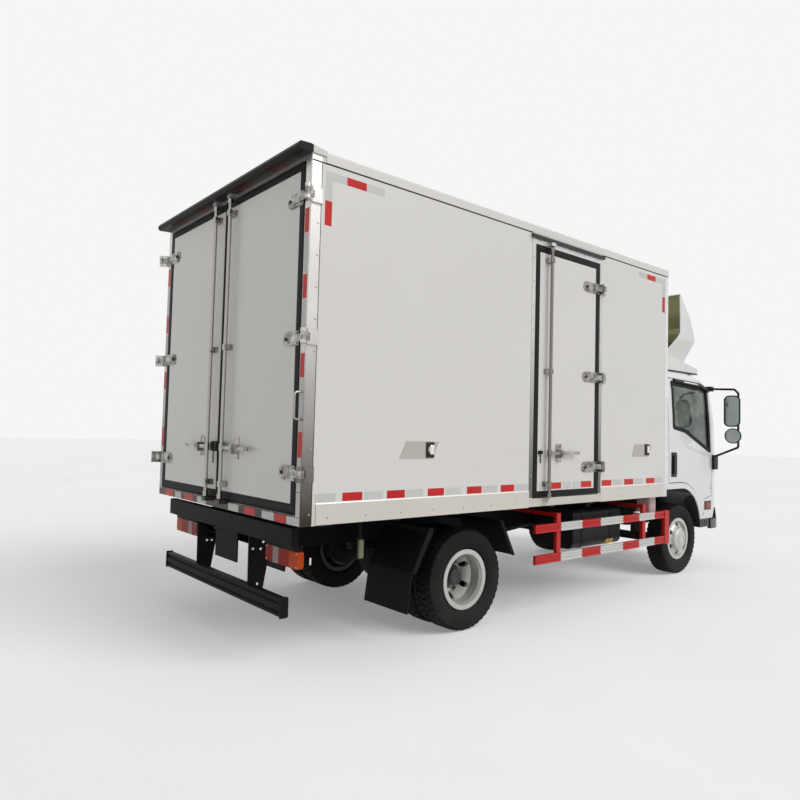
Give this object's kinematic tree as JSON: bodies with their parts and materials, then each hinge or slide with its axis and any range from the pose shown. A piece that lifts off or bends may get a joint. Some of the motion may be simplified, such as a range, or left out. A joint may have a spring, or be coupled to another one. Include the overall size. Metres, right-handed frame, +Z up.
{
  "type": "refrigerated box truck",
  "caption": "Light cab-over truck with an insulated box: hinged rear and side doors, tilting cab, steered front wheels and twin rear wheels.",
  "frame": {"origin": "on the ground under the middle of the truck's overall length and width", "axes": "+X forward to the cab, +Y to the truck's left, +Z up"},
  "size_m": [5.9885, 2.4842, 3.096],
  "materials": {
    "chassis_black": "satin",
    "cast_black": "matte",
    "tank": "satin",
    "cab_white": "gloss",
    "box_skin": "satin",
    "floor_alu": "satin",
    "stainless": "satin",
    "black_plastic": "satin",
    "flap_rubber": "matte",
    "guard_paint": "gloss",
    "lens": "gloss",
    "lamp_glass": "gloss",
    "window": "gloss",
    "unit_white": "gloss",
    "seat_fabric": "matte",
    "dash_plastic": "matte",
    "tyre": "matte",
    "rim_silver": "gloss"
  },
  "bodies": {
    "chassis": {"chassis_frame": "chassis_black", "front_axle": "cast_black", "rear_axle": "cast_black", "engine_block": "cast_black", "fuel_tank": "tank", "front_bumper": "cab_white", "rear_mudguards": "flap_rubber", "rear_underrun": "chassis_black", "tail_lamps": "lens", "side_guards": "guard_paint", "box_floor": "floor_alu", "box_side_walls": "box_skin", "box_front_wall": "box_skin", "box_roof": "box_skin", "rear_door_frame": "stainless", "roof_hood": "black_plastic", "side_door_frame": "stainless", "refrigeration_unit": "unit_white"},
    "cab": {"cab_shell": "cab_white", "windscreen": "window", "roof_deflector": "cab_white", "mirrors": "black_plastic", "cab_seats": "seat_fabric", "dashboard": "dash_plastic", "headlamps": "lamp_glass"},
    "right_cab_door": {"cab_door_right": "cab_white", "cab_door_right_glass": "window"},
    "left_cab_door": {"cab_door_left": "cab_white", "cab_door_left_glass": "window"},
    "right_rear_door": {"rear_door_right": "box_skin", "rear_door_right_hardware": "stainless"},
    "left_rear_door": {"rear_door_left": "box_skin", "rear_door_left_hardware": "stainless"},
    "side_box_door": {"side_door": "box_skin", "side_door_hardware": "stainless"},
    "right_knuckle": {"knuckle_right": "cast_black"},
    "right_front_wheel": {"front_tyre_right": "tyre", "front_rim_right": "rim_silver"},
    "right_rear_wheels": {"rear_tyres_right": "tyre", "rear_rims_right": "rim_silver"},
    "left_knuckle": {"knuckle_left": "cast_black"},
    "left_front_wheel": {"front_tyre_left": "tyre", "front_rim_left": "rim_silver"},
    "left_rear_wheels": {"rear_tyres_left": "tyre", "rear_rims_left": "rim_silver"}
  },
  "joints": [
    {"name": "cab_tilt", "type": "hinge", "parent": "chassis", "child": "cab", "pos_m": [2.845, 0, 0.45], "axis": [0, 1, 0], "range_deg": [0, 45]},
    {"name": "right_cab_door_hinge", "type": "hinge", "parent": "cab", "child": "right_cab_door", "pos_m": [2.585, -0.897, 1.02], "axis": [0, 0, 1], "range_deg": [0, 75]},
    {"name": "left_cab_door_hinge", "type": "hinge", "parent": "cab", "child": "left_cab_door", "pos_m": [2.585, 0.897, 1.02], "axis": [0, 0, -1], "range_deg": [0, 75]},
    {"name": "right_rear_door_hinge", "type": "hinge", "parent": "chassis", "child": "right_rear_door", "pos_m": [-2.94, -1.142, 1.96], "axis": [0, 0, 1], "range_deg": [0, 270]},
    {"name": "left_rear_door_hinge", "type": "hinge", "parent": "chassis", "child": "left_rear_door", "pos_m": [-2.94, 1.142, 1.96], "axis": [0, 0, -1], "range_deg": [0, 270]},
    {"name": "side_door_hinge", "type": "hinge", "parent": "chassis", "child": "side_box_door", "pos_m": [0.077, -1.147, 1.93], "axis": [0, 0, 1], "range_deg": [0, 180]},
    {"name": "left_steer", "type": "hinge", "parent": "chassis", "child": "left_knuckle", "pos_m": [1.935, 0.636, 0.365], "axis": [0, 0, 1], "range_deg": [-35, 35]},
    {"name": "left_front_roll", "type": "hinge", "parent": "left_knuckle", "child": "left_front_wheel", "pos_m": [1.935, 0.782, 0.365], "axis": [0, 1, 0], "continuous": true},
    {"name": "left_rear_roll", "type": "hinge", "parent": "chassis", "child": "left_rear_wheels", "pos_m": [-1.41, 0.787, 0.365], "axis": [0, 1, 0], "continuous": true},
    {"name": "right_steer", "type": "hinge", "parent": "chassis", "child": "right_knuckle", "pos_m": [1.935, -0.636, 0.365], "axis": [0, 0, 1], "range_deg": [-35, 35]},
    {"name": "right_front_roll", "type": "hinge", "parent": "right_knuckle", "child": "right_front_wheel", "pos_m": [1.935, -0.782, 0.365], "axis": [0, 1, 0], "continuous": true},
    {"name": "right_rear_roll", "type": "hinge", "parent": "chassis", "child": "right_rear_wheels", "pos_m": [-1.41, -0.787, 0.365], "axis": [0, 1, 0], "continuous": true}
  ],
  "couplings": [
    {"joint": "right_steer", "follows": "left_steer", "ratio": 1}
  ]
}
